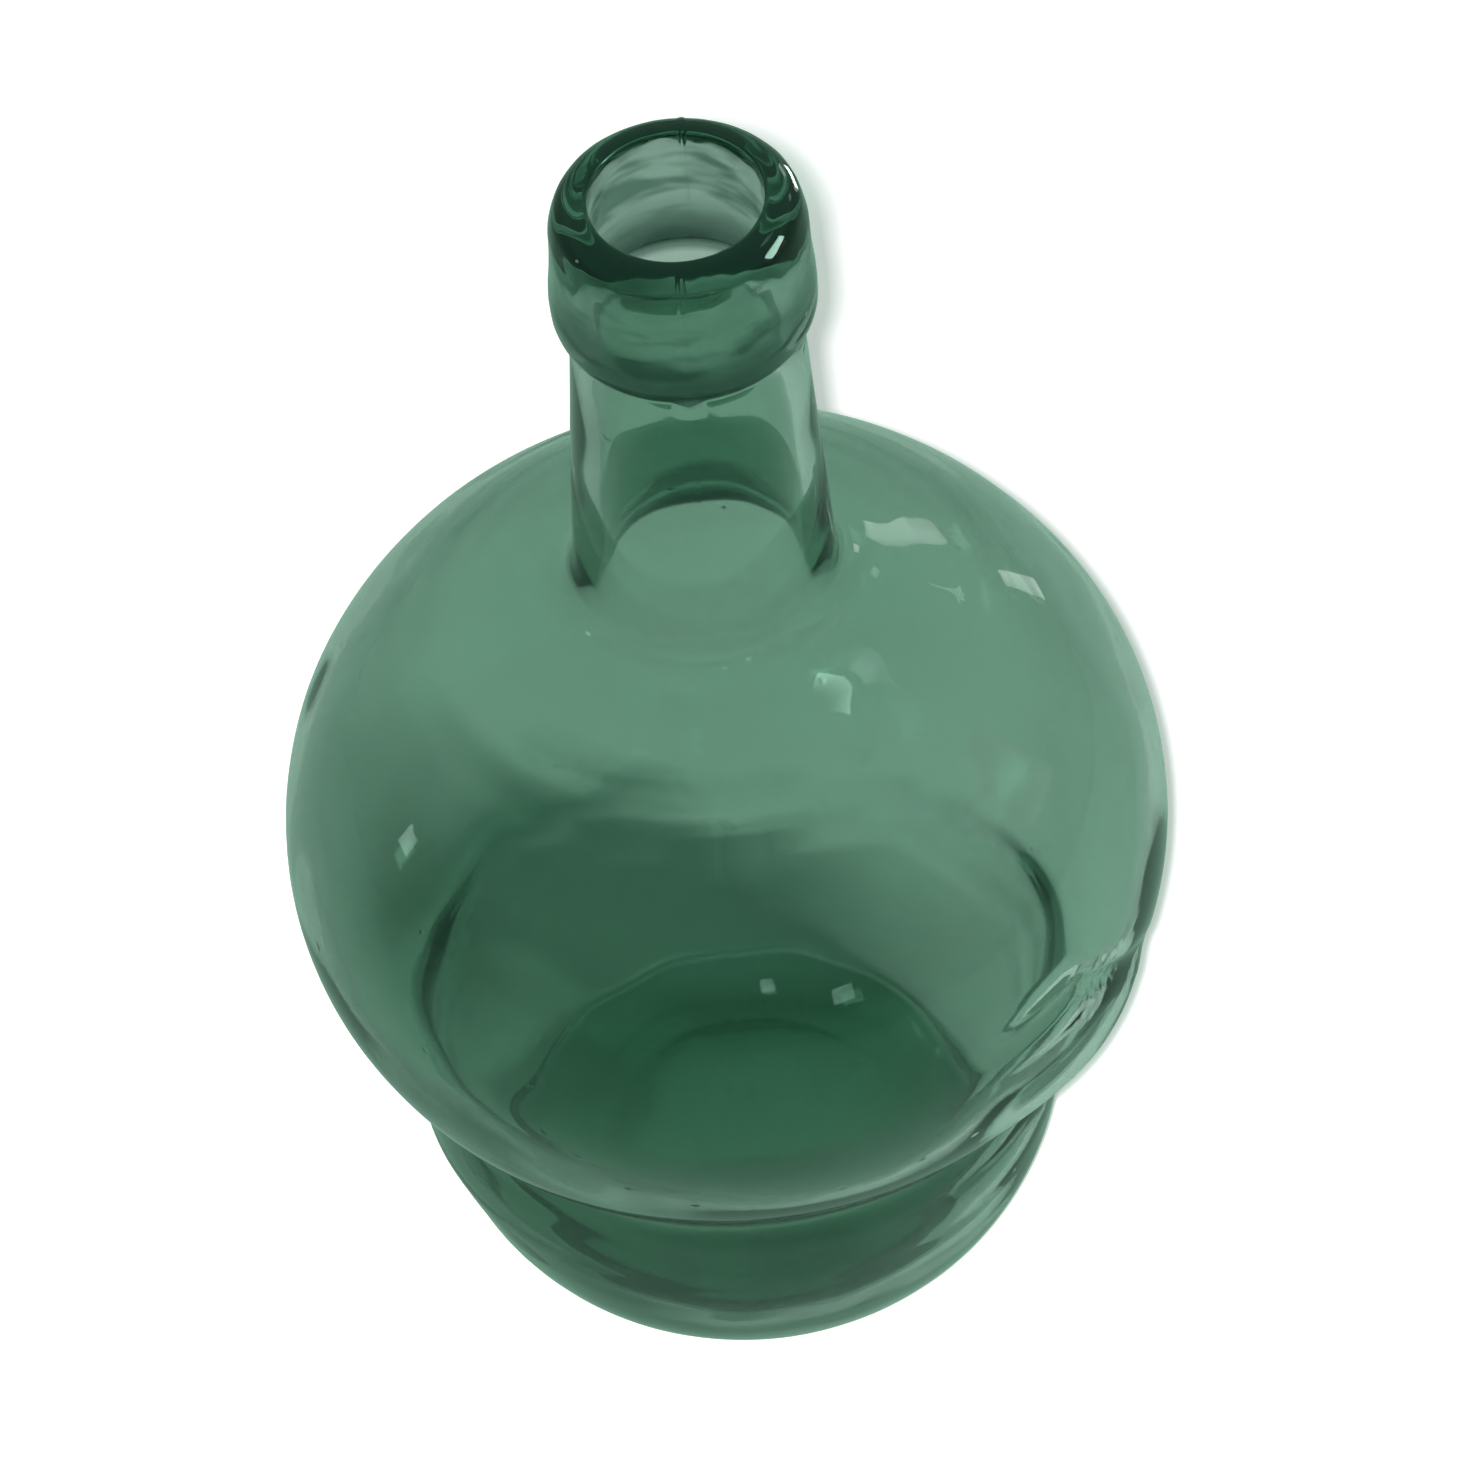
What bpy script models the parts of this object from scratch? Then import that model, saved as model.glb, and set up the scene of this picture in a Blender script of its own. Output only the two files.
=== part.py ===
"""A green glass demijohn of about five litres, empty and with its mouth open.

The bottle is made of two gathers of glass. The first is blown into the vessel: neck, shoulder,
belly, foot and pushed-up base in one thin shell. The second is laid round the end of the neck
and tooled into a thick ring, which gives the mouth its lip and its ledge.

Metres, +Z up. The origin is the middle of the foot, on the surface that the bottle stands on.
Heights are stacked from the foot upwards, so a change of one stretch carries all above it.
"""

import math

import bpy
from mathutils import Vector
from mathutils.geometry import interpolate_bezier

# Turning
segments = 48
join_distance = 0.00001

# Foot and base
contact_radius = 0.0440
contact_width = 0.0060
push_up_rise = 0.0140
foot_radius = 0.0815
foot_height = 0.0635
heel_reach = 0.0180
heel_height = 0.0175

# Belly
tuck_height = 0.0214
tuck_overhang = 0.0054
belly_radius = 0.1082
belly_drop = 0.0894
shoulder_rise = 0.0910

# Neck
root_fillet_reach = 0.0180
root_fillet_rise = 0.0180
neck_root_radius = 0.0311
neck_length = 0.0762
neck_ledge_radius = 0.0269
neck_end_radius = 0.0256

# Ring round the mouth
ring_height = 0.0390
ring_radius = 0.0298
ring_edge_radius = 0.0284
ring_edge_rise = 0.0012
ring_belly_height = 0.0280
ring_top_radius = 0.0288
ring_top_drop = 0.0052
lip_flat_width = 0.0014
lip_cover = 0.0120
mouth_radius = 0.0202
mouth_round = 0.0010
seat_gap = 0.0003

# Walls
neck_end_wall = 0.0052
neck_wall = 0.0056
shoulder_wall = 0.0038
belly_wall = 0.0034
foot_wall = 0.0046
heel_wall = 0.0060
floor_wall = 0.0075
push_up_wall = 0.0070

# Hand-blown swelling of the lower belly, on one side, and the crease above it
swelling_side = math.radians(-33)
swelling_drop = 0.0285
swelling_height = 0.0028
swelling_spread = 0.0105
swelling_width = 0.0480
crease_rise = 0.0110
crease_depth = 0.0038
crease_spread = 0.0075

# How far each curve's handles reach, as shares of the stretch that they bend
tuck_lower_handle_share = 0.40
tuck_upper_handle_share = 0.50
fillet_handle_share = 0.45
push_up_handle_share = 0.50
floor_handle_share = 0.50
ring_handle_share = 0.50

# Glass
glass_color = (0.055, 0.190, 0.125, 1.0)
ring_color = (0.030, 0.125, 0.080, 1.0)
glass_roughness = 0.05
glass_alpha = 0.55


def line(start, end, steps):
    """Points of a straight stretch, from after its start to its end."""
    return [tuple(Vector(start).lerp(Vector(end), i / steps)) for i in range(1, steps + 1)]


def curve(start, start_handle, end_handle, end, steps):
    """Points of a Bezier stretch, from after its start to its end."""
    knots = [Vector(p).to_3d() for p in (start, start_handle, end_handle, end)]
    return [(p.x, p.y) for p in interpolate_bezier(*knots, steps + 1)[1:]]


def oval_arc(height, rise, first, last, steps):
    """Points of the belly's oval, by angle above its widest girth, from after the first."""
    angles = [first + (last - first) * i / steps for i in range(1, steps + 1)]
    return [(belly_radius * math.cos(a), height + rise * math.sin(a)) for a in angles]


def moved(point, direction, length):
    """A point at a length from another, along a direction that need not be a unit one."""
    return tuple(Vector(point) + Vector(direction).normalized() * length)


def distance(first, second):
    """The straight distance between two points of a profile."""
    return (Vector(first) - Vector(second)).length


# Heights and angles that follow from the sizes
tuck_angle = math.acos(min((foot_radius + tuck_overhang) / belly_radius, 1))
belly_height = foot_height + tuck_height + belly_drop * math.sin(tuck_angle)
root_angle = math.acos(min((neck_root_radius + root_fillet_reach) / belly_radius, 1))
neck_root_height = belly_height + shoulder_rise * math.sin(root_angle) + root_fillet_rise
ledge_height = neck_root_height + neck_length
total_height = ledge_height + ring_height
neck_end_height = total_height - lip_cover


def neck_and_shoulder():
    """The outer side from the end of the neck down to the widest girth."""
    end = (neck_end_radius, neck_end_height)
    ledge = (neck_ledge_radius, ledge_height)
    root = (neck_root_radius, neck_root_height)
    dome = (neck_root_radius + root_fillet_reach, neck_root_height - root_fillet_rise)
    dome_slope = (belly_radius * math.sin(root_angle), -shoulder_rise * math.cos(root_angle))
    neck_slope = (root[0] - ledge[0], root[1] - ledge[1])
    handle = fillet_handle_share * distance(root, dome)
    points = [end] + line(end, ledge, 1) + line(ledge, root, 2)
    points += curve(root, moved(root, neck_slope, handle), moved(dome, dome_slope, -handle), dome, 5)
    return points + oval_arc(belly_height, shoulder_rise, root_angle, 0, 9)


def lower_belly_and_foot():
    """The outer side from under the widest girth down to the outer edge of the contact ring."""
    tuck = (foot_radius + tuck_overhang, foot_height + tuck_height)
    foot_top = (foot_radius, foot_height)
    contact = (contact_radius, 0)
    heel = (contact_radius + heel_reach, 0)
    wall_foot = (foot_radius, heel_height)
    tuck_slope = (-belly_radius * math.sin(tuck_angle), -belly_drop * math.cos(tuck_angle))
    reach = distance(tuck, foot_top)
    points = oval_arc(belly_height, belly_drop, 0, -tuck_angle, 9)
    points += curve(
        tuck,
        moved(tuck, tuck_slope, tuck_upper_handle_share * reach),
        (foot_radius, foot_height + tuck_lower_handle_share * reach),
        foot_top,
        5,
    )
    return points + curve(foot_top, wall_foot, heel, contact, 9)


def base():
    """The underside: the flat ring that the bottle stands on, then the pushed-up middle."""
    inner_edge = (contact_radius - contact_width, 0)
    middle = (0, push_up_rise)
    handle = push_up_handle_share * inner_edge[0]
    start_handle = (inner_edge[0] - handle / 2, push_up_rise / 2)
    return [inner_edge] + curve(inner_edge, start_handle, (handle, push_up_rise), middle, 4)


def wall_at(height):
    """The thickness of the glass at a height: thick in the neck and heel, thin in the belly."""
    stations = [
        (0, heel_wall),
        (foot_height, foot_wall),
        (belly_height, belly_wall),
        (belly_height + shoulder_rise / 2, shoulder_wall),
        (neck_root_height, neck_wall),
        (ledge_height, neck_wall),
        (neck_end_height, neck_end_wall),
    ]
    for (low, below), (high, above) in zip(stations, stations[1:]):
        if height <= high:
            return below + (above - below) * max(height - low, 0) / (high - low)
    return neck_end_wall


def inner_side(outer):
    """The hollow's side, from the floor up to the end of the neck, inside the outer side."""
    points = []
    for before, point, after in zip(outer, outer[1:], outer[2:]):
        along = (Vector(after) - Vector(before)).normalized()
        inward = Vector((along.y, -along.x))
        if point[1] > heel_height:
            points.append(tuple(Vector(point) + inward * wall_at(point[1])))
    end = (neck_end_radius - neck_end_wall, neck_end_height)
    return points[::-1] + [end]


def floor(heel_end, heel_next):
    """The hollow's floor, from its middle over the contact ring to the foot of its side."""
    middle = (0, push_up_rise + push_up_wall)
    low = (contact_radius - contact_width / 2, floor_wall)
    handle = floor_handle_share * low[0]
    rise = floor_handle_share * distance(low, heel_end)
    points = [middle] + curve(middle, (handle, middle[1]), (low[0] - handle, low[1]), low, 4)
    slope = (heel_end[0] - heel_next[0], heel_end[1] - heel_next[1])
    points += curve(low, (low[0] + rise, low[1]), moved(heel_end, slope, rise), heel_end, 4)
    return points[:-1]


def vessel_profile():
    """The vessel's section, from the middle of its floor up inside, and down outside."""
    outer = neck_and_shoulder() + lower_belly_and_foot()
    side = inner_side(outer)
    return floor(side[0], side[1]) + side + outer + base()


def ring_profile():
    """The ring's section, closed, from its lower edge. Its heights are above the ledge."""
    socket = neck_ledge_radius + seat_gap
    seat = (neck_end_radius + seat_gap, ring_height - lip_cover + seat_gap)
    bore = (neck_end_radius - neck_end_wall, seat[1])
    mouth = (mouth_radius, ring_height - mouth_round)
    lip_inner = (mouth_radius + mouth_round, ring_height)
    lip_outer = (lip_inner[0] + lip_flat_width, ring_height)
    top = (ring_top_radius, ring_height - ring_top_drop)
    belly = (ring_radius, ring_belly_height)
    edge = (ring_edge_radius, ring_edge_rise)
    up = ring_handle_share * (top[1] - belly[1])
    down = ring_handle_share * (belly[1] - edge[1])
    top_slope = (top[0] - belly[0], top[1] - belly[1])
    points = [(socket, 0), seat, bore]
    points += curve(bore, (bore[0], mouth[1] - up), (mouth[0], mouth[1] - up), mouth, 2)
    points += curve(mouth, (mouth[0], ring_height), (mouth[0], ring_height), lip_inner, 3)
    points += [lip_outer]
    lip_handle = (lip_outer[0] + ring_handle_share * (top[0] - lip_outer[0]), ring_height)
    points += curve(lip_outer, lip_handle, moved(top, top_slope, ring_top_drop / 2), top, 5)
    points += curve(top, moved(top, top_slope, -up / 2), (belly[0], belly[1] + up), belly, 4)
    points += curve(belly, (belly[0], belly[1] - down), moved(edge, (1, 1), down / 2), edge, 5)
    return points


def swelling_at(x, y, z):
    """How far the hand-blown swelling pushes a point of the lower belly outwards."""
    towards = x * math.cos(swelling_side) + y * math.sin(swelling_side)
    side = (y * math.cos(swelling_side) - x * math.sin(swelling_side)) / swelling_width
    if towards < 0 or abs(side) >= 1:
        return 0
    middle = belly_height - swelling_drop
    swelling = (z - middle) / swelling_spread
    crease = (z - middle - crease_rise) / crease_spread
    out = swelling_height * max(1 - swelling ** 2, 0) ** 2
    out -= crease_depth * max(1 - crease ** 2, 0) ** 2
    return out * (1 - side ** 2) ** 2


def glass(name, color):
    """Clear coloured glass."""
    material = bpy.data.materials.new(name)
    material.use_nodes = True
    shader = material.node_tree.nodes["Principled BSDF"]
    shader.inputs["Base Color"].default_value = color
    shader.inputs["Roughness"].default_value = glass_roughness
    shader.inputs["Metallic"].default_value = 0
    shader.inputs["Alpha"].default_value = glass_alpha
    material.diffuse_color = color
    return material


def turned(name, points, closed, material, collection):
    """A turned body: a profile on the +X side, swept round the Z axis."""
    mesh = bpy.data.meshes.new(name + "_profile")
    edges = [(i, i + 1) for i in range(len(points) - 1)]
    if closed:
        edges.append((len(points) - 1, 0))
    mesh.from_pydata([(x, 0, z) for x, z in points], edges, [])
    profile = bpy.data.objects.new(name, mesh)
    collection.objects.link(profile)
    screw = profile.modifiers.new("turn", "SCREW")
    screw.axis = "Z"
    screw.steps = segments
    screw.render_steps = segments
    screw.use_merge_vertices = True
    screw.merge_threshold = join_distance
    profile.data.materials.append(material)
    return profile


def applied(profile):
    """The same object, with its modifiers turned into plain mesh."""
    graph = bpy.context.evaluated_depsgraph_get()
    mesh = bpy.data.meshes.new_from_object(profile.evaluated_get(graph))
    mesh.name = profile.name
    profile.modifiers.clear()
    profile.data = mesh
    return profile


def smoothed(body, sharp_angle=math.radians(50)):
    """Round pieces are shaded smooth, apart from their true edges."""
    body.data.shade_smooth()
    body.data.set_sharp_from_angle(angle=sharp_angle)
    return body


def make_vessel(collection):
    """The blown vessel, with its swelling."""
    material = glass("vessel_glass", glass_color)
    vessel = applied(turned("vessel", vessel_profile(), False, material, collection))
    for vertex in vessel.data.vertices:
        x, y, z = vertex.co
        radius = math.hypot(x, y)
        if radius > neck_root_radius:
            grown = 1 + swelling_at(x, y, z) / radius
            vertex.co = (x * grown, y * grown, z)
    return smoothed(vessel)


def make_collar_ring(collection, vessel):
    """The ring laid round the end of the neck. Its origin is on the axis, at its lower edge."""
    material = glass("ring_glass", ring_color)
    ring = applied(turned("collar_ring", ring_profile(), True, material, collection))
    ring.parent = vessel
    ring.location.z = ledge_height
    return smoothed(ring)


def main():
    for old in list(bpy.data.objects):
        bpy.data.objects.remove(old)
    collection = bpy.data.collections.new("demijohn")
    bpy.context.scene.collection.children.link(collection)
    vessel = make_vessel(collection)
    make_collar_ring(collection, vessel)
    print(f"total height {total_height:.4f} m, widest girth at {belly_height:.4f} m")


main()
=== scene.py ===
# %% [markdown]
# # A green glass demijohn
# This lesson dresses a finished CAD bottle for its portrait. The real thing is a five litre wine
# bottle, blown in one gather of blue-green glass, with a second gather laid round the end of the
# neck as a ring. It stands empty and open, so all that shows is glass: its walls, its colour where
# it is thick, and the marks that the blower and the mould have left in it.
#
# The CAD part is the fixed frame. Nothing here moves or resizes it. It is built of straight facets,
# though, and a facet shows at once in glass, so we make one smooth piece that stands in its place.

import math

import bpy
import numpy as np
from mathutils import Matrix, Vector


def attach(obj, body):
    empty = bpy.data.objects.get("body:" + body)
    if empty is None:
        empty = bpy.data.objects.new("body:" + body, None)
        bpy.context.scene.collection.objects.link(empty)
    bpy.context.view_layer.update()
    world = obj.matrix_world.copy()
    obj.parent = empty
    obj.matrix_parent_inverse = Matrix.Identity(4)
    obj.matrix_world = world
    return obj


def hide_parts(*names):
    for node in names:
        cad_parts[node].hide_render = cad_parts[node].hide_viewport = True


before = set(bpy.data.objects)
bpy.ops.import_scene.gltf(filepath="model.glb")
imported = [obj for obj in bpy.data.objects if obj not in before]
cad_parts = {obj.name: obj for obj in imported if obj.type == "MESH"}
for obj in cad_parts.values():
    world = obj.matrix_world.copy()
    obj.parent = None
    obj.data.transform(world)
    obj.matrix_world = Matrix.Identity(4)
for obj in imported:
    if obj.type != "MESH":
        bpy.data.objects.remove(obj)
bpy.context.view_layer.update()

# %% [markdown]
# ## Reading the section off the frame
# A turned bottle is one section swept round its axis. We could type that section again, but then
# two files would have to agree on every size. The frame holds it already: it is the line of edges
# that lie in the half plane where y is zero and x is positive. The mesh comes in as loose triangles,
# so we first give each place one number, and then walk from place to place.

# %% Walk along a node's section
same_place = 1e-6


def place_key(vertex):
    """One whole number each for a vertex's radius and height, alike for all that lie together."""
    return round(vertex.co.x / same_place), round(vertex.co.z / same_place)


def section_of(node):
    """The places along a turned node's section, as radius and height, from one end to the other."""
    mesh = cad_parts[node].data
    on_plane = {
        vertex.index: place_key(vertex)
        for vertex in mesh.vertices
        if abs(vertex.co.y) < same_place and vertex.co.x > -same_place
    }
    beside = {}
    for edge in mesh.edges:
        a, b = (on_plane.get(i) for i in edge.vertices)
        if a is not None and b is not None and a != b:
            beside.setdefault(a, set()).add(b)
            beside.setdefault(b, set()).add(a)
    ends = sorted((k for k in beside if len(beside[k]) == 1), key=lambda k: -k[1])
    walk = [ends[0] if ends else min(beside, key=lambda k: (k[1], k[0]))]
    while True:
        onward = [k for k in sorted(beside[walk[-1]]) if k not in walk]
        if not onward:
            break
        walk.append(onward[0])
    return np.array(walk) * same_place


vessel_section = section_of("vessel")
ring_section = section_of("collar_ring")
total_height = ring_section[:, 1].max()
ledge_height = ring_section[:, 1].min()
print("section places:", len(vessel_section), "in the vessel,", len(ring_section), "in the ring")

# %% [markdown]
# ## One piece of glass
# On the bench the ring is laid on hot, and the two gathers fuse. No surface is left between them,
# and a renderer must not find one either: a hidden gap inside glass would shine like a mirror. The
# CAD's two pieces stand a little apart, so a boolean union would not close it. We splice their two
# sections into one line instead, from the middle of the floor inside, up the hollow, over the lip,
# down the outside and under the foot.

# %% Splice the two sections
rim_tolerance = 5e-6


def spliced(vessel, ring):
    """The outline of the fused glass: the vessel's, with the ring's in place of the neck's end."""
    rim = np.flatnonzero(vessel[:, 1] > vessel[:, 1].max() - rim_tolerance)
    loop = np.roll(ring, -int(np.argmin(ring[:, 1])), axis=0)
    if loop[1, 0] > loop[-1, 0]:
        loop = np.concatenate([loop[:1], loop[:0:-1]])
    over_the_lip = loop[2:]
    return np.concatenate([vessel[: rim[0] + 1], over_the_lip, vessel[rim[-1] + 1 :]])


glass_section = spliced(vessel_section, ring_section)
print("the fused section has", len(glass_section), "places")

# %% [markdown]
# ## A smooth line through the places
# The section's places are a few millimetres apart, with straight edges between them, and hot glass
# has no straight edge. A Subdivision Surface would round them, but it pulls the shape in from its
# places. A curve that is led through the places keeps the CAD's sizes. We read it again where it
# matters: close together where it bends hard, as at the lip, and far apart where it runs straight.

# %% Lead a curve through the section
long_stretch = 0.012
end_hold = 0.0025
steps_per_stretch = 24


def held_ends(line):
    """Long stretches get a place near each end, so that a curve through them can't swing wide."""
    held = [line[0]]
    for a, b in zip(line, line[1:]):
        length = np.linalg.norm(b - a)
        if length > long_stretch:
            held += [a + (b - a) * end_hold / length, b - (b - a) * end_hold / length]
        held.append(b)
    return np.array(held)


def curve_through(line):
    """A smooth curve through a line's places, level where it meets the axis."""
    mirror = np.array([-1, 1])
    line = np.concatenate([[line[1] * mirror], line, [line[-2] * mirror]])
    lengths = np.linalg.norm(np.diff(line, axis=0), axis=1)
    knots = np.concatenate([[0], np.cumsum(np.sqrt(lengths))])
    spans = np.diff(knots)[:, None]
    rises = np.diff(line, axis=0) / spans
    slopes = (rises[:-1] * spans[1:] + rises[1:] * spans[:-1]) / (spans[1:] + spans[:-1])
    t = np.linspace(0, 1, steps_per_stretch, endpoint=False)[:, None]
    pieces = []
    for i in range(1, len(line) - 2):
        start = (2 * t**3 - 3 * t**2 + 1) * line[i] + (t**3 - 2 * t**2 + t) * spans[i] * slopes[i - 1]
        end = (3 * t**2 - 2 * t**3) * line[i + 1] + (t**3 - t**2) * spans[i] * slopes[i]
        pieces.append(start + end)
    return np.concatenate(pieces + [line[-2:-1]])


smooth_line = curve_through(held_ends(glass_section))
print("the curve has", len(smooth_line), "places")

# %% Read the curve again by its bend
finest_step = 0.0006
coarsest_step = 0.0032
turn_per_step = 0.12
smoothing_places = 10


def read_by_bend(line):
    """The same line with its places crowded where it bends."""
    steps = np.diff(line, axis=0)
    length = np.linalg.norm(steps, axis=1)
    heading = np.unwrap(np.arctan2(steps[:, 1], steps[:, 0]))
    bend = np.abs(np.gradient(heading)) / np.maximum(length, same_place)
    window = np.ones(2 * smoothing_places + 1) / (2 * smoothing_places + 1)
    bend = np.convolve(np.pad(bend, smoothing_places, mode="edge"), window, mode="valid")
    spacing = np.clip(turn_per_step / np.maximum(bend, same_place), finest_step, coarsest_step)
    count = np.concatenate([[0], np.cumsum(length / spacing)])
    wanted = np.linspace(0, count[-1], int(math.ceil(count[-1])) + 1)
    return np.stack([np.interp(wanted, count, line[:, k]) for k in (0, 1)], axis=1)


fine_section = np.maximum(read_by_bend(smooth_line), 0)
fine_section[[0, -1], 0] = 0
print("the smooth section has", len(fine_section), "places")

# %% [markdown]
# ## Where the glass is thick
# The blowing iron leaves the hollow free: its wall follows no mould. Glass gathers in two places as
# it cools. In the corner under the neck, the hollow's side of the line moves by a hump that fades out
# all round. On the floor, a level pad fills the hollow up to one height, and the push-up under it is
# drawn shallower. It is the line that we change, because one line is easier to bend than a mesh.
# What shows of the outside stays as the CAD has it.

# %% Thicken the hollow's side
corner_place = (0.0340, 0.2260)
corner_spread = 0.0420
corner_push = (-0.0003, -0.0019)
floor_rise = 0.0250
floor_radius = 0.0625
floor_edge_power = 8
push_up_edge = 0.038
push_up_kept = 0.45


def hump(distance, spread):
    """One at the middle, falling smoothly to nothing at the spread."""
    return np.clip(1 - (distance / spread) ** 2, 0, 1) ** 2


def hollow_side(line):
    """True for the places of a section that line the hollow, up to the lip."""
    return np.arange(len(line)) < np.argmax(line[:, 1])


def with_thick_corner(line):
    """The section with more glass in the corner under the neck."""
    near = hump(np.linalg.norm(line - np.array(corner_place), axis=1), corner_spread)
    return line + (near * hollow_side(line))[:, None] * np.array(corner_push)


def with_thick_floor(line):
    """The section with a level pad of glass on its floor and a shallower push-up under it."""
    filled = line.copy()
    inside = hollow_side(line)
    across = np.clip(line[:, 0] / floor_radius, 0, 1)
    pad = floor_rise * np.sqrt(1 - across**floor_edge_power)
    filled[inside, 1] = np.maximum(line[:, 1], pad)[inside]
    under = ~inside & (line[:, 0] < push_up_edge) & (line[:, 1] < floor_rise)
    filled[under, 1] *= push_up_kept
    return filled


fine_section = with_thick_floor(with_thick_corner(fine_section))
floor_thickness = fine_section[0, 1] - fine_section[-1, 1]
print("the floor is", round(float(floor_thickness) * 1000, 1), "mm thick")

# %% [markdown]
# ## Small helpers for node trees
# Geometry trees and shader trees are built the same way: add a node, set what it does, and plug
# other nodes into it. One helper does all three, so that each tree below reads as a short recipe.

# %% Helpers for trees


def add(tree, kind, inputs=None, **settings):
    """A new node in a tree. An input given a socket is linked, and any other is set."""
    node = tree.nodes.new(kind)
    for name, value in settings.items():
        setattr(node, name, value)
    for name, value in (inputs or {}).items():
        if isinstance(value, bpy.types.NodeSocket):
            tree.links.new(value, node.inputs[name])
        else:
            node.inputs[name].default_value = value
    return node


def maths(tree, operation, *values):
    """The result of one sum in a tree."""
    return add(tree, "ShaderNodeMath", dict(enumerate(values)), operation=operation).outputs[0]


def product(tree, first, *others):
    """The product of several values in a tree."""
    for other in others:
        first = maths(tree, "MULTIPLY", first, other)
    return first


def ramp(tree, value, start, end):
    """Nothing at the start and one at the end, with a soft rise between them."""
    inputs = {"Value": value, "From Min": start, "From Max": end}
    return add(tree, "ShaderNodeMapRange", inputs, interpolation_type="SMOOTHSTEP").outputs[0]


def empty_material(name):
    """A new material with an empty tree."""
    material = bpy.data.materials.new(name)
    material.use_nodes = True
    material.node_tree.nodes.clear()
    return material, material.node_tree


glass, glass_tree = empty_material("green_bottle_glass")
print("an empty material to fill:", glass.name)

# %% [markdown]
# ## Fine marks in the glass
# The surface is not perfect. Cords, which are threads of glass of another mix, run up the wall, and
# seeds, which are small trapped bubbles, pucker it here and there. Both are too fine to model, so a
# bump bends the light by them and leaves the shape alone.

# %% Cords and seeds
cord_scale = (70, 70, 10)
seeds_per_metre = 70
seed_share = 0.10
marks_strength = 0.035
marks_height = 0.002


def fine_marks(tree):
    """The surface's normal, tilted by the cords and seeds."""
    place = add(tree, "ShaderNodeTexCoord").outputs["Object"]
    drawn_out = add(tree, "ShaderNodeMapping", {"Vector": place, "Scale": cord_scale}).outputs[0]
    threads = {"Vector": drawn_out, "Scale": 1.0, "Detail": 0.0}
    cords = add(tree, "ShaderNodeTexNoise", threads).outputs[0]
    cells = add(tree, "ShaderNodeTexVoronoi", {"Vector": place, "Scale": seeds_per_metre}).outputs[0]
    height = maths(tree, "ADD", cords, ramp(tree, cells, seed_share, 0.0))
    bump = {"Strength": marks_strength, "Distance": marks_height, "Height": height}
    return add(tree, "ShaderNodeBump", bump).outputs[0]


marked_normal = fine_marks(glass_tree)
print("nodes that draw the marks:", len(glass_tree.nodes))

# %% [markdown]
# ## The film on its surface, and painted shade on the ring
# An old bottle carries a dull film, which tints what passes through it. The ring is a second gather,
# darker than the first. Shade is painted onto it: dark streaks round the ring, and a dark band in the
# angle under its lower edge. A painted image could show that, but it would have to be wrapped round
# the bottle. The height of a place says enough to blend one colour into the next, and a noise that is
# drawn out round the bottle makes the streaks.

# %% Film, with painted shade on the ring
film_colour = (0.474, 0.635, 0.551, 1)
# painted shade: the dark band in the angle under the ring's lower edge
painted_shade_under_ring = (0.07, 0.13, 0.105, 1)
film_on_ring = (0.38, 0.54, 0.46, 1)
# painted shade: the dark streaks round the ring
painted_shade_in_streaks = (0.05, 0.115, 0.085, 1)
streak_scale = (45, 45, 150)
streak_edges = (0.48, 0.70)
under_ring_heights = (0.3120, 0.3150)
on_ring_heights = (0.3185, 0.3290)


def blended(tree, share, first, second):
    """A colour between two others."""
    return add(tree, "ShaderNodeMix", {0: share, 6: first, 7: second}, data_type="RGBA").outputs[2]


def film_and_painted_shade(tree):
    """The surface's dull colour, with painted shade: streaks on the ring, and dark under its lower
    edge.
    """
    place = add(tree, "ShaderNodeTexCoord").outputs["Object"]
    height = add(tree, "ShaderNodeSeparateXYZ", {0: place}).outputs[2]
    drawn_round = add(tree, "ShaderNodeMapping", {"Vector": place, "Scale": streak_scale}).outputs[0]
    streaks = {"Vector": drawn_round, "Scale": 1.0, "Detail": 2.0}
    streaked = ramp(tree, add(tree, "ShaderNodeTexNoise", streaks).outputs[0], *streak_edges)
    # painted shade in streaks round the ring
    on_ring = blended(tree, streaked, film_on_ring, painted_shade_in_streaks)
    # painted shade in a band under the ring's lower edge
    below = blended(tree, ramp(tree, height, *under_ring_heights), film_colour, painted_shade_under_ring)
    return blended(tree, ramp(tree, height, *on_ring_heights), below, on_ring)


film_and_shade = film_and_painted_shade(glass_tree)
print("the film changes between", under_ring_heights[0], "and", on_ring_heights[1], "m up")

# %% [markdown]
# ## Letting lamps through
# Lamps have to get through the glass. A path tracer finds that way only by luck, so a ray that looks
# for a lamp passes straight on in a colour of its own, less of it where it grazes the wall. Ripples
# in the wall make that uneven, and leave the bottle's shadow cloudy. Two Transparent shaders could
# be mixed for that, but one with a blended colour looks the same, and an export reads it more surely.

# %% What lamps see
lamp_colour_straight = (0.885, 0.94, 0.912, 1)
lamp_colour_grazing = (0.32, 0.48, 0.40, 1)
grazing_from = 0.12
grazing_to = 0.42
ripples_per_metre = 17
ripple_strength = 3.0


def passed_by_lamps(tree):
    """Lets a lamp's light straight through: most of it head on, and less along the wall."""
    turned_away = add(tree, "ShaderNodeLayerWeight", {"Blend": 0.5}).outputs["Facing"]
    place = add(tree, "ShaderNodeTexCoord").outputs["Object"]
    ripples = {"Vector": place, "Scale": ripples_per_metre, "Detail": 2.0}
    ripple = add(tree, "ShaderNodeTexNoise", ripples).outputs[0]
    uneven = product(tree, maths(tree, "SUBTRACT", ripple, 0.5), ripple_strength)
    shallow = ramp(tree, maths(tree, "ADD", turned_away, uneven), grazing_from, grazing_to)
    colour = blended(tree, shallow, lamp_colour_straight, lamp_colour_grazing)
    return add(tree, "ShaderNodeBsdfTransparent", {"Color": colour}).outputs[0]


for_lamps = passed_by_lamps(glass_tree)
print("lamps get through the wall as", for_lamps.node.bl_label)

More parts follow.
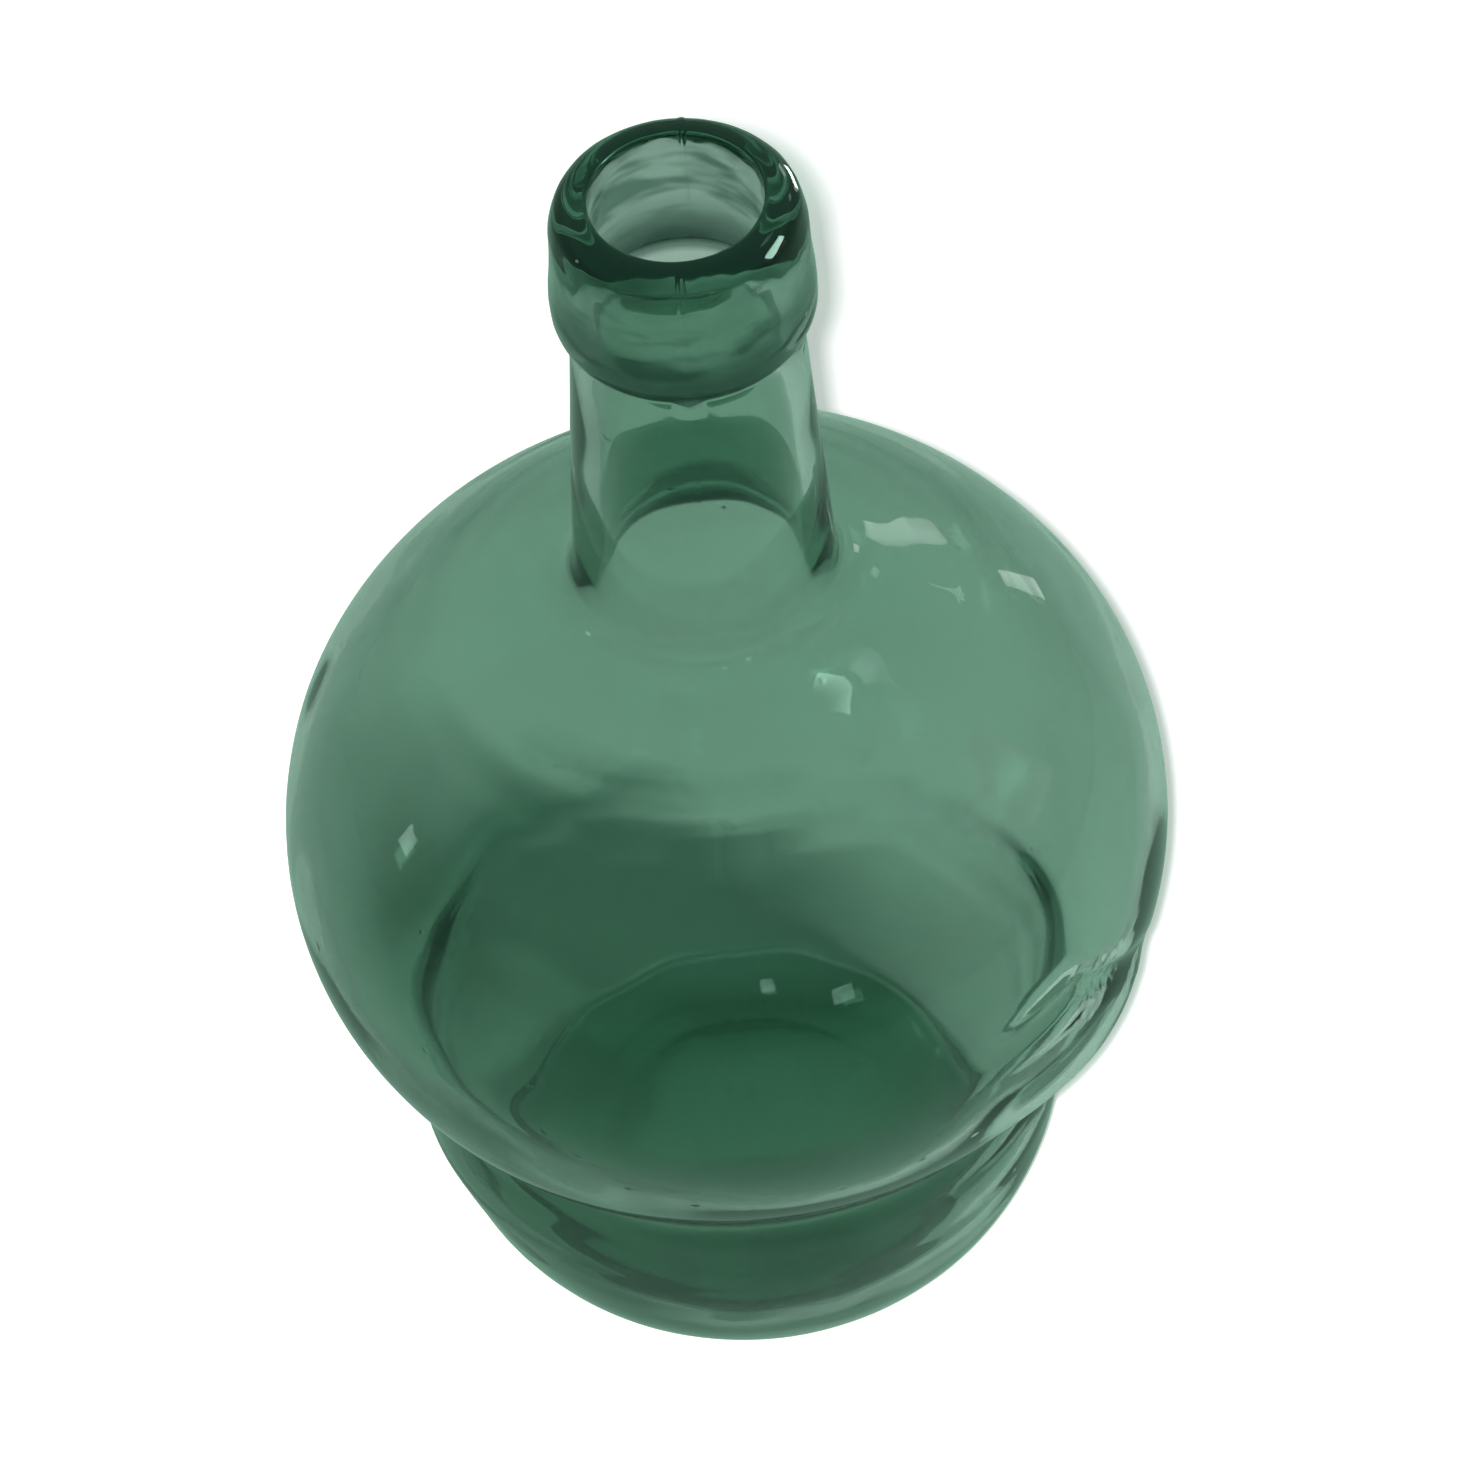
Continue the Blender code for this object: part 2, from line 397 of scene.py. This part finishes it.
# %% [markdown]
# ## Green in its depth
# Green bottle glass is clear at its surface and coloured all through. A coloured surface would make
# thin walls as dark as thick ones. So the colour comes from a volume that takes up light along the
# way: thin walls look pale and thick ones dark, with no paint. The iron in the glass takes most of
# the red light, less of the blue and least of the green.

# %% Glass material
glass_bends_light = 1.5
glass_roughness = 0.03
passed_colour = (0.0, 0.40, 0.22, 1)
taken_up_per_metre = 37.0
mirror_colour = (0.50, 0.97, 0.78, 1)


def fill_with_glass(tree):
    """Glass with its dull tint and painted shade on top, green in its depth, with another shader for
    rays to lamps.
    """
    surface = {
        "Base Color": film_and_shade,
        "Roughness": glass_roughness,
        "IOR": glass_bends_light,
        "Transmission Weight": 1.0,
        "Specular Tint": mirror_colour,
        "Normal": marked_normal,
    }
    clear = add(tree, "ShaderNodeBsdfPrincipled", surface).outputs[0]
    to_lamp = add(tree, "ShaderNodeLightPath").outputs["Is Shadow Ray"]
    mix = add(tree, "ShaderNodeMixShader", {0: to_lamp, 1: clear, 2: for_lamps}).outputs[0]
    depth = {"Color": passed_colour, "Density": taken_up_per_metre}
    volume = add(tree, "ShaderNodeVolumeAbsorption", depth).outputs[0]
    add(tree, "ShaderNodeOutputMaterial", {"Surface": mix, "Volume": volume})


fill_with_glass(glass_tree)
print("glass:", glass.name, "with", len(glass_tree.nodes), "nodes")

# %% [markdown]
# ## Turning the glass
# The whole bottle follows one rule, so a geometry tree makes it. A Screw modifier could turn the
# section too, but it spaces its steps evenly, and the mould's seams need more of them at the front
# and the back. The tree has an input for each of its sizes, so that another bottle could use it.

# %% Name the tree's inputs
turning_inputs = {
    "Steps round": ("Int", 240),
    "Crowding": ("Float", 0.45),
    "Outer wave": ("Float", 0.0003),
    "Inner wave": ("Float", 0.0008),
    "Wave length": ("Float", 0.045),
    "Ring wave": ("Float", 0.00036),
    "Ring wave length": ("Float", 0.0120),
    "Ring wave flatness": ("Float", 1.9),
    "Ring ledge": ("Float", float(ledge_height)),
    "Lip": ("Float", float(total_height)),
    "Seed": ("Float", 3.0),
    "Material": ("Material", glass),
}


def geometry_tree(name, inputs):
    """A new geometry tree with the named inputs, its input node and its output node."""
    tree = bpy.data.node_groups.new(name, "GeometryNodeTree")
    tree.interface.new_socket("Geometry", in_out="INPUT", socket_type="NodeSocketGeometry")
    tree.interface.new_socket("Geometry", in_out="OUTPUT", socket_type="NodeSocketGeometry")
    for label, (kind, _) in inputs.items():
        tree.interface.new_socket(label, in_out="INPUT", socket_type="NodeSocket" + kind)
    return tree, tree.nodes.new("NodeGroupInput").outputs, tree.nodes.new("NodeGroupOutput").inputs


turning_tree, given, turned_out = geometry_tree("turned_glass", turning_inputs)
print("the turning tree has", len(turning_inputs), "named inputs")

# %% [markdown]
# ## A grid, bent round the axis
# The tree starts from a flat grid, with a row for each place of the section and a column for each
# step round the axis. Each place of the grid looks up its radius and height on the section, and its
# angle from its column. Then the edges that have come together are merged, and the poles with them.

# %% Bend the grid
merge_distance = 5e-6


def whole(tree, operation, *values):
    """The result of one sum of whole numbers in a geometry tree."""
    inputs = dict(enumerate(values))
    return add(tree, "FunctionNodeIntegerMath", inputs, operation=operation).outputs[0]


def angle_of_column(tree, column):
    """A column's angle round the axis, drawn towards the front and the back by the crowding."""
    even = product(tree, maths(tree, "DIVIDE", column, given["Steps round"]), math.tau)
    drawn = product(tree, maths(tree, "SINE", product(tree, even, 2.0)), given["Crowding"], 0.5)
    return maths(tree, "ADD", even, drawn)


def bent_round_axis(tree):
    """A grid bent round the axis, its rows on the section's places, its edges merged."""
    line = given["Geometry"]
    rows = add(tree, "GeometryNodeAttributeDomainSize", {0: line}, component="MESH").outputs[0]
    columns = whole(tree, "ADD", given["Steps round"], 1)
    grid_size = {"Vertices X": rows, "Vertices Y": columns}
    grid = add(tree, "GeometryNodeMeshGrid", grid_size).outputs[0]
    index = add(tree, "GeometryNodeInputIndex").outputs[0]
    position = add(tree, "GeometryNodeInputPosition").outputs[0]
    row = whole(tree, "DIVIDE_FLOOR", index, columns)
    sample = {"Geometry": line, "Value": position, "Index": row}
    place = add(tree, "GeometryNodeSampleIndex", sample, data_type="FLOAT_VECTOR", domain="POINT")
    radius, _, height = add(tree, "ShaderNodeSeparateXYZ", {0: place.outputs[0]}).outputs
    angle = angle_of_column(tree, whole(tree, "MODULO", index, columns))
    x = product(tree, radius, maths(tree, "COSINE", angle))
    y = product(tree, radius, maths(tree, "SINE", angle))
    bent = add(tree, "ShaderNodeCombineXYZ", {0: x, 1: y, 2: height}).outputs[0]
    turned = add(tree, "GeometryNodeSetPosition", {"Geometry": grid, "Position": bent}).outputs[0]
    merge = {"Geometry": turned, "Distance": merge_distance}
    return add(tree, "GeometryNodeMergeByDistance", merge).outputs[0]


closed_glass = bent_round_axis(turning_tree)
print("nodes in the tree so far:", len(turning_tree.nodes))

# %% [markdown]
# ## Walls that wander
# Hand-blown walls are never quite round. The tree pushes them in and out along their normals by a
# noise: the outside a little, the hollow more, and the tooled ring in shorter waves of its own, which
# lie flat because the tool went round. The foot and the lip stay where they are, for what stands
# under and on them. A Displace modifier would need a painted group for each of these places. The
# tree finds them by their height, and by whether the wall faces the axis.

# %% Let the walls wander
still_foot = (0.001, 0.012)
still_lip = (0.0002, 0.0035)
ring_fade = (-0.004, 0.006)


def wave(tree, position, length):
    """A smooth noise of a given wave length, from minus one to one."""
    scale = maths(tree, "DIVIDE", 1.0, length)
    inputs = {"Vector": position, "W": given["Seed"], "Scale": scale, "Detail": 1.0}
    noise = add(tree, "ShaderNodeTexNoise", inputs, noise_dimensions="4D").outputs[0]
    return product(tree, maths(tree, "SUBTRACT", noise, 0.5), 2.0)


def wandering_walls(tree):
    """The turned glass with its walls pushed in and out along their normals."""
    position = add(tree, "GeometryNodeInputPosition").outputs[0]
    normal = add(tree, "GeometryNodeInputNormal").outputs[0]
    x, y, height = add(tree, "ShaderNodeSeparateXYZ", {0: position}).outputs
    level = add(tree, "ShaderNodeCombineXYZ", {0: x, 1: y}).outputs[0]
    facing = add(tree, "ShaderNodeVectorMath", {0: level, 1: normal}, operation="DOT_PRODUCT")
    outside = maths(tree, "GREATER_THAN", facing.outputs["Value"], 0.0)
    inside = maths(tree, "SUBTRACT", 1.0, outside)
    outer = product(tree, outside, given["Outer wave"])
    size = maths(tree, "ADD", outer, product(tree, inside, given["Inner wave"]))
    long_wave = product(tree, wave(tree, position, given["Wave length"]), size)
    above = maths(tree, "SUBTRACT", height, given["Ring ledge"])
    on_ring = product(tree, outside, ramp(tree, above, *ring_fade))
    raised = product(tree, height, given["Ring wave flatness"])
    drawn_round = add(tree, "ShaderNodeCombineXYZ", {0: x, 1: y, 2: raised}).outputs[0]
    tooled = wave(tree, drawn_round, given["Ring wave length"])
    short_wave = product(tree, tooled, given["Ring wave"], on_ring)
    under_lip = maths(tree, "SUBTRACT", given["Lip"], height)
    free = product(tree, ramp(tree, height, *still_foot), ramp(tree, under_lip, *still_lip))
    push = product(tree, maths(tree, "ADD", long_wave, short_wave), free)
    offset = add(tree, "ShaderNodeVectorMath", {0: normal, "Scale": push}, operation="SCALE")
    moved = {"Geometry": closed_glass, "Offset": offset.outputs[0]}
    return add(tree, "GeometryNodeSetPosition", moved).outputs[0]


waved_glass = wandering_walls(turning_tree)
print("nodes in the tree so far:", len(turning_tree.nodes))

# %% [markdown]
# ## Running the tree
# The tree ends by shading the glass smooth and giving it its material. We run it on the section as a
# mesh of bare edges, and keep what it makes as a plain mesh, which the marks can then push about.

# %% Turn the section


def finish_tree(tree):
    """Shade the glass smooth, give it its material and pass it on."""
    smooth = add(tree, "GeometryNodeSetShadeSmooth", {"Geometry": waved_glass}).outputs[0]
    real = add(tree, "GeometryNodeRealizeInstances", {"Geometry": smooth}).outputs[0]
    finish = {"Geometry": real, "Material": given["Material"]}
    tree.links.new(add(tree, "GeometryNodeSetMaterial", finish).outputs[0], turned_out["Geometry"])


def line_mesh(name, line):
    """A section as a mesh of edges, in the half plane where y is zero."""
    mesh = bpy.data.meshes.new(name)
    edges = [(i, i + 1) for i in range(len(line) - 1)]
    mesh.from_pydata([(radius, 0, height) for radius, height in line], edges, [])
    return mesh


def grown(name, mesh, tree, inputs):
    """A plain mesh object, made by running a geometry tree on a mesh with these input values."""
    seed = bpy.data.objects.new(name, mesh)
    bpy.context.scene.collection.objects.link(seed)
    modifier = seed.modifiers.new(tree.name, "NODES")
    modifier.node_group = tree
    for item in tree.interface.items_tree:
        if item.in_out == "INPUT" and item.name in inputs:
            modifier[item.identifier] = inputs[item.name][1]
    graph = bpy.context.evaluated_depsgraph_get()
    plain = bpy.data.meshes.new_from_object(seed.evaluated_get(graph))
    plain.name = name
    seed.modifiers.clear()
    seed.data = plain
    return seed


finish_tree(turning_tree)
bottle = grown("bottle", line_mesh("section_line", fine_section), turning_tree, turning_inputs)
print("the bottle has", len(bottle.data.vertices), "places and", len(bottle.data.polygons), "faces")

# %% [markdown]
# ## Marks of the hand and the mould
# No rule makes the marks that are this bottle's own, so we place them one by one, each by its side of
# the bottle (degrees from +X towards +Y) and its height. The belly sagged on the right while it was
# soft: a crease runs slantwise above a swelling. On the left the foot is a little full at its top.
# They could be sculpted, but a hump with a place, a spread and a height can be moved later.

# %% Marks on the belly and the foot
crease_start = (-29, 0.1296)
crease_climb = 0.0012
crease_top = 0.145
crease_sides = (-37, 24)
crease_spread = 0.0075
crease_depth = 0.0032
swelling_sides = (-35, 23)
swelling_height = (0.110, 0.0135)
swelling_rise = 0.0028
full_sides = (-160, 42)
full_height = (0.052, 0.020)
full_rise = 0.0024


def turned_from(angle, side):
    """How far an angle lies from a side, in degrees, the short way round."""
    return (angle - side + 180) % 360 - 180


def patch(angle, height, sides, heights):
    """A hump round one side and one height of the bottle, each given with its spread."""
    return hump(turned_from(angle, sides[0]), sides[1]) * hump(height - heights[0], heights[1])


def belly_marks(angle, height):
    """How far the crease, the swelling and the full side push each place out, in metres."""
    crease_height = crease_start[1] - crease_climb * (angle - crease_start[0])
    crease_height = np.minimum(crease_height, crease_top)
    crease = patch(angle, height, crease_sides, (crease_height, crease_spread))
    swelling = patch(angle, height, swelling_sides, swelling_height)
    full = patch(angle, height, full_sides, full_height)
    return swelling_rise * swelling - crease_depth * crease + full_rise * full


print("swelling out by", swelling_rise * 1000, "mm, crease in by", crease_depth * 1000, "mm")

# %% [markdown]
# ## Seams of the mould
# The two halves of the mould left a thin seam at the front and one at the back, which the wall's
# outside alone carries. It is plainest on the ring and is lost in the foot. A bead of glass was
# squeezed out where the front seam meets the ring's ledge.

# %% Mark the bottle
seam_sides = (-91.5, 84)
seam_width = 0.0011
seam_rise = 0.00038
seam_share_below_ring = 0.35
seam_at_ledge = 0.001
seam_over_foot = (0.02, 0.04)
bead_height = (0.3140, 0.0030)
bead_width = 0.0045
bead_rise = 0.0013


def share_of_way(value, start, end):
    """How much of the way from a start to an end a value has come, from 0 to 1."""
    return np.clip((value - start) / (end - start), 0, 1)


def seam_marks(angle, height, radius):
    """How far the seams and the bead push each place out, in metres."""
    on_ring = share_of_way(height, ledge_height, ledge_height + seam_at_ledge)
    rise = seam_rise * (seam_share_below_ring + (1 - seam_share_below_ring) * on_ring)
    rise = rise * share_of_way(height, *seam_over_foot)
    front, back = (np.radians(turned_from(angle, side)) * radius for side in seam_sides)
    seams = rise * (hump(front, seam_width) + hump(back, seam_width))
    bead = hump(front, bead_width) * hump(height - bead_height[0], bead_height[1])
    return seams + bead_rise * bead


def mark(piece):
    """Push a piece's places straight out from the axis by its marks."""
    mesh = piece.data
    co = np.empty(len(mesh.vertices) * 3)
    normals = np.empty(len(mesh.vertices) * 3)
    mesh.vertices.foreach_get("co", co)
    mesh.vertices.foreach_get("normal", normals)
    co = co.reshape(-1, 3)
    normals = normals.reshape(-1, 3)
    radius = np.maximum(np.hypot(co[:, 0], co[:, 1]), same_place)
    angle = np.degrees(np.arctan2(co[:, 1], co[:, 0]))
    outward = (co[:, :2] * normals[:, :2]).sum(axis=1) > 0
    push = belly_marks(angle, co[:, 2]) + outward * seam_marks(angle, co[:, 2], radius)
    co[:, :2] *= (1 + push / radius)[:, None]
    mesh.vertices.foreach_set("co", co.ravel())
    mesh.update()
    return push


pushes = mark(bottle)
print("marks push from", round(pushes.min() * 1000, 2), "to", round(pushes.max() * 1000, 2), "mm")

# %% [markdown]
# ## Camera
# The photograph looks down at the mouth at almost 50 degrees, here from almost two metres through a
# long lens, and the camera is held a few degrees off level. Blender's Track To would keep it level,
# so we build the camera's three directions ourselves and turn two of them.

# %% Set the camera
camera_place = Vector((0.0, -1.2909, 1.6504))
camera_target = Vector((0.0022, 0.0, 0.1689))
camera_roll = -0.0813
focal_length = 200.15
sensor_width = 36

forward = (camera_target - camera_place).normalized()
level_right = forward.cross(Vector((0, 0, 1))).normalized()
level_up = level_right.cross(forward)
right = level_right * math.cos(camera_roll) + level_up * math.sin(camera_roll)
up = level_up * math.cos(camera_roll) - level_right * math.sin(camera_roll)
camera_data = bpy.data.cameras.new("camera")
camera_data.lens = focal_length
camera_data.sensor_width = sensor_width
camera = bpy.data.objects.new("camera", camera_data)
turn = Matrix((right, up, -forward)).transposed().to_4x4()
camera.matrix_world = Matrix.Translation(camera_place) @ turn
bpy.context.scene.collection.objects.link(camera)
bpy.context.scene.camera = camera
print("the camera is", round((camera_target - camera_place).length, 2), "m from the bottle")

# %% [markdown]
# ## The table
# Glass shows its surroundings more than itself, so the studio does half of the work. The table is
# white. The photograph is printed in green tones, highlights and all, so what the glass mirrors is
# pale green. Light Path tells the rays apart: the camera sees a white sweep with a thin soft shadow,
# and the glass sees the same table as the main lamp lights it, with the bottle's own green shadow.
# One table can't do both, so there are two at one height, and each lamp is linked to its own.

# %% Two tables
sweep_half = 6.0
table_half = 1.60
table_drop = 0.0005
table_gap = 0.0002
glow_for_camera = 0.38
glow_for_glass = 0.05
white = (1, 1, 1, 1)
table_white = (0.85, 0.85, 0.85, 1)
mirrored_table = (0.25, 0.45, 0.34, 1)


def by_ray(tree, shader, cases):
    """One shader for most rays, and another for each kind that is named. The last that fits wins.

    A ray that glass has bent counts as glossy too, so the case for transmission comes after it.
    """
    rays = add(tree, "ShaderNodeLightPath").outputs
    for ray, other in cases.items():
        shader = add(tree, "ShaderNodeMixShader", {0: rays[ray], 1: shader, 2: other}).outputs[0]
    return shader


def glow(tree, colour, strength=1.0):
    """Plain light of one colour."""
    return add(tree, "ShaderNodeEmission", {"Color": colour, "Strength": strength}).outputs[0]


def seen_by(thing, *rays):
    """Let only the named kinds of ray see a thing."""
    for ray in ("camera", "diffuse", "glossy", "transmission", "volume_scatter", "shadow"):
        setattr(thing, "visible_" + ray, ray in rays)


def panel(name, half_wide, half_high, material, turn):
    """A flat panel of the studio, with its place and turn in its mesh."""
    corners = [(-half_wide, -half_high), (half_wide, -half_high)]
    corners += [(half_wide, half_high), (-half_wide, half_high)]
    mesh = bpy.data.meshes.new(name)
    mesh.from_pydata([(x, y, 0) for x, y in corners], [], [(0, 1, 2, 3)])
    mesh.transform(turn)
    mesh.materials.append(material)
    made = bpy.data.objects.new(name, mesh)
    bpy.context.scene.collection.objects.link(made)
    return made


def table(name, half, drop, glow_kept):
    """A square white table, which keeps some glow where it is in shadow, and is mirrored in green."""
    material, tree = empty_material(name + "_white")
    matt = add(tree, "ShaderNodeBsdfDiffuse", {"Color": table_white}).outputs[0]
    lit = add(tree, "ShaderNodeAddShader", {0: matt, 1: glow(tree, white, glow_kept)}).outputs[0]
    mirrored = glow(tree, mirrored_table)
    shader = by_ray(tree, lit, {"Is Glossy Ray": mirrored, "Is Transmission Ray": lit})
    add(tree, "ShaderNodeOutputMaterial", {"Surface": shader})
    return panel(name, half, half, material, Matrix.Translation((0, 0, -drop)))


table_for_camera = table("table_for_camera", sweep_half, table_drop, glow_for_camera)
table_for_glass = table("table_for_glass", table_half, table_drop + table_gap, glow_for_glass)
seen_by(table_for_camera, "camera")
seen_by(table_for_glass, "diffuse", "glossy", "transmission", "shadow")
print("tables:", table_for_camera.name, table_for_glass.name)

# %% [markdown]
# ## The room
# Real walls would need lamps of their own, so the room is the world's colour. Through the glass it
# is pale overhead and greyer towards the horizon, which draws the thick edges of the glass. What the
# glass mirrors is a pale green room, the camera sees plain white, and the rest gets a faint light.

# %% Colour the room
mirrored_room = (0.40, 0.72, 0.56, 1)
room_through_glass = (0.60, 0.66, 0.63, 1)
horizon_through_glass = (0.22, 0.27, 0.245, 1)
room_light = (0.135, 0.165, 0.150, 1)
horizon_fade = (0.10, 0.50)
room_colours = {
    "Is Glossy Ray": (mirrored_table, mirrored_room),
    "Is Transmission Ray": (horizon_through_glass, room_through_glass),
    "Is Camera Ray": (white, white),
}


def backdrop(tree, colour):
    """The world's light in one colour."""
    return add(tree, "ShaderNodeBackground", {"Color": colour}).outputs[0]


def colour_room(tree):
    """A colour low down and another high up, for each kind of ray."""
    way = add(tree, "ShaderNodeTexCoord").outputs["Generated"]
    height = add(tree, "ShaderNodeSeparateXYZ", {0: way}).outputs[2]
    climb = ramp(tree, height, *horizon_fade)
    shades = {}
    for ray, (low, high) in room_colours.items():
        ends = {0: climb, 1: backdrop(tree, low), 2: backdrop(tree, high)}
        shades[ray] = add(tree, "ShaderNodeMixShader", ends).outputs[0]
    seen = by_ray(tree, backdrop(tree, room_light), shades)
    add(tree, "ShaderNodeOutputWorld", {"Surface": seen})


world = bpy.data.worlds.new("studio_room")
bpy.context.scene.world = world
world.use_nodes = True
world.node_tree.nodes.clear()
colour_room(world.node_tree)
bpy.context.scene.view_settings.view_transform = "Standard"
print("the room has a colour for", ", ".join(room_colours))

# %% [markdown]
# ## Lamps
# One tall softbox, high on the right, lights the table through the bottle and throws its green
# shadow. A small lamp beside the camera lights only the white sweep, so that its shadow hides behind
# the bottle but for a thin edge. Neither is mirrored: what shines in the glass comes from windows.

# %% Hang the lamps
bottle_middle = Vector((0, 0, 0.14))
softbox_way = (-27, 63)
softbox_distance = 1.6
softbox_size = (0.20, 1.25)
softbox_watts = 29
beside_camera = -0.027
above_camera = 0.006
edge_lamp_size = (0.03, 0.03)
edge_lamp_watts = 56


def direction(azimuth, elevation):
    """The way towards a place in the room, from degrees round and degrees up."""
    azimuth, elevation = math.radians(azimuth), math.radians(elevation)
    level = math.cos(elevation)
    return Vector((level * math.cos(azimuth), level * math.sin(azimuth), math.sin(elevation)))


def facing(place, target):
    """The matrix that moves a thing to a place and points its -Z at a target."""
    turn = (target - place).to_track_quat("-Z", "Y").to_matrix().to_4x4()
    return Matrix.Translation(place) @ turn


def lamp(name, place, target, size, watts, lit, passed_over):
    """A soft lamp, so wide and so high, which lights one table and passes over the other."""
    data = bpy.data.lights.new(name, "AREA")
    data.shape = "RECTANGLE"
    data.size, data.size_y = size
    data.energy = watts
    made = bpy.data.objects.new(name, data)
    made.matrix_world = facing(place, target)
    bpy.context.scene.collection.objects.link(made)
    seen_by(made, "diffuse", "shadow")
    receivers = bpy.data.collections.new(name + "_receivers")
    receivers.objects.link(lit)
    receivers.objects.link(passed_over)
    made.light_linking.receiver_collection = receivers
    for item, state in zip(receivers.collection_objects, ("INCLUDE", "EXCLUDE")):
        item.light_linking.link_state = state
    return made


softbox = lamp(
    "side_softbox",
    place=bottle_middle + direction(*softbox_way) * softbox_distance,
    target=bottle_middle,
    size=softbox_size,
    watts=softbox_watts,
    lit=table_for_glass,
    passed_over=table_for_camera,
)
edge_lamp = lamp(
    "edge_lamp",
    place=camera_place + right * beside_camera + up * above_camera,
    target=camera_target,
    size=edge_lamp_size,
    watts=edge_lamp_watts,
    lit=table_for_camera,
    passed_over=table_for_glass,
)
print("lamps:", softbox.name, edge_lamp.name)

# %% [markdown]
# ## Windows
# The bright patches on the glass are windows that it mirrors. An image of a room would put them all
# there at once, but each has its own place on this bottle, so we hang them one by one, as panels that
# only the glass can see. The large ones stand far off and are patchy, as if leaves hung before them,
# and two small ones hang close by, for the lights on the lip. Each shines straight ahead alone, so
# that it makes one patch and no more.

# %% Hang the windows
window_colour = (1.0, 0.95, 0.93, 1)
leaves_per_metre = 3.5
leaves_clear = (0.30, 0.60)
light_left_by_leaves = 0.5
grid_shuts = (0.30, 0.08)
shoulder = (Vector((0, 0, 0.205)), 2.2)
lip_side = (Vector((0.025, 0.010, 0.350)), 0.10)
lip_front = (Vector((0.022, -0.015, 0.350)), 0.10)
windows = {
    "tall_window": (shoulder, (-4, 20), (24, 24), 0.9),
    "side_window": (shoulder, (58, 18), (6, 11), 3.2),
    "streak_window": (shoulder, (43, 24), (4, 5), 2.6),
    "wedge_window": (shoulder, (47, 2), (4, 9), 3.2),
    "roof_window": (shoulder, (25, 53), (12, 7), 2.4),
    "low_window": (shoulder, (-66, 8), (5, 5), 4.0),
    "front_window": (shoulder, (-83, 17), (3, 4), 4.0),
    "left_window": (shoulder, (177, 9), (4, 6), 4.0),
    "lip_side_window": (lip_side, (53, -10), (14, 10), 24.0),
    "lip_front_window": (lip_front, (-1, 22), (24, 18), 22.0),
}


def window_light(name, strength):
    """Light through leaves, which a grid keeps to the way straight ahead."""
    material, tree = empty_material(name + "_light")
    place = add(tree, "ShaderNodeTexCoord").outputs["Object"]
    noise = {"Vector": place, "Scale": leaves_per_metre, "Detail": 0.0}
    gaps = ramp(tree, add(tree, "ShaderNodeTexNoise", noise).outputs[0], *leaves_clear)
    through_gaps = product(tree, gaps, strength * (1 - light_left_by_leaves))
    through_leaves = maths(tree, "ADD", through_gaps, strength * light_left_by_leaves)
    turned_away = add(tree, "ShaderNodeLayerWeight", {"Blend": 0.5}).outputs["Facing"]
    shine = product(tree, through_leaves, ramp(tree, turned_away, *grid_shuts))
    add(tree, "ShaderNodeOutputMaterial", {"Surface": glow(tree, window_colour, shine)})
    material.cycles.emission_sampling = "NONE"
    return material


def window(name, seen_from, way, size, strength):
    """A bright panel in a direction, of so many degrees across and high, seen by glass alone."""
    middle, distance = seen_from
    half_wide, half_high = (distance * math.tan(math.radians(s / 2)) for s in size)
    turn = facing(middle + direction(*way) * distance, middle)
    made = panel(name, half_wide, half_high, window_light(name, strength), turn)
    seen_by(made, "glossy", "transmission")


for name, facts in windows.items():
    window(name, *facts)
print("windows:", len(windows))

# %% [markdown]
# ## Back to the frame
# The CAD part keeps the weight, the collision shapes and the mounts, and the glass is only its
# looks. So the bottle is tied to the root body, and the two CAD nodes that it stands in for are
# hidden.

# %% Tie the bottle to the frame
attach(bottle, "root")
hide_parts("vessel", "collar_ring")
